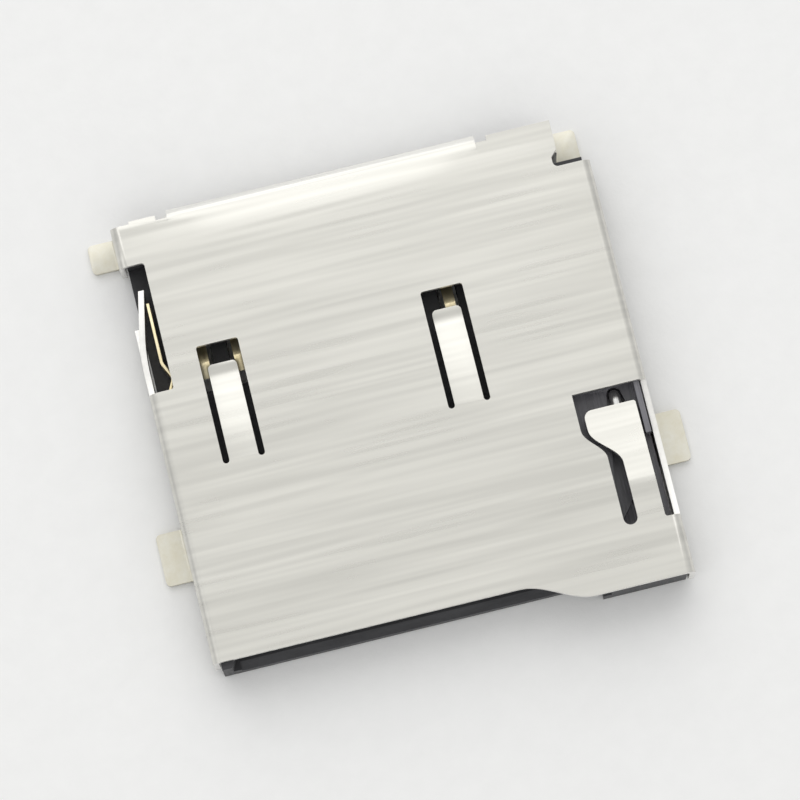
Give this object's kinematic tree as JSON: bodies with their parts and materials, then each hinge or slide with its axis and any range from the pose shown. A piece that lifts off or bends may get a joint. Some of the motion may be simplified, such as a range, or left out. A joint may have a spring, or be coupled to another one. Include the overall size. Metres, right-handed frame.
{
  "type": "microsd card connector",
  "caption": "Surface-mount push-push memory card connector: folded steel shell over a moulded base with spring contacts, ejector slider, cam pin and coil spring.",
  "frame": {"origin": "centre of the solder tabs' plane, under the middle of the overall box", "axes": "+Z away from the board, -Y towards the side where the card enters, +X towards the ejector slider"},
  "size_m": [0.0164, 0.0146, 0.0019],
  "materials": {
    "shell_steel": "rolled stainless sheet, fine grain across the card path",
    "housing_resin": "black glass-filled resin",
    "contact_gold": "gold-plated copper alloy",
    "slider_resin": "black moulded resin",
    "spring_steel": "drawn wire"
  },
  "bodies": {
    "base": {"shell": "shell_steel", "housing": "housing_resin", "contact_1": "contact_gold", "contact_2": "contact_gold", "contact_3": "contact_gold", "contact_4": "contact_gold", "contact_5": "contact_gold", "contact_6": "contact_gold", "contact_7": "contact_gold", "contact_8": "contact_gold", "detect_spring": "contact_gold", "eject_spring": "spring_steel"},
    "slider": {"slider": "slider_resin"},
    "cam_pin": {"cam_pin": "spring_steel"}
  },
  "joints": [
    {"name": "slider_travel", "type": "slide", "parent": "base", "child": "slider", "axis": [0, 1, 0], "range_m": [0, 0.004], "stiffness_N_per_m": 400, "deforming": ["eject_spring"]},
    {"name": "cam_pin_swing", "type": "hinge", "parent": "base", "child": "cam_pin", "pos_m": [0.00633, -0.00673, 0], "axis": [0, 0, 1], "range_deg": [0, 7]}
  ],
  "couplings": [
    {"joint": "cam_pin_swing", "follows": "slider_travel", "rad_per_m": 28.26}
  ]
}
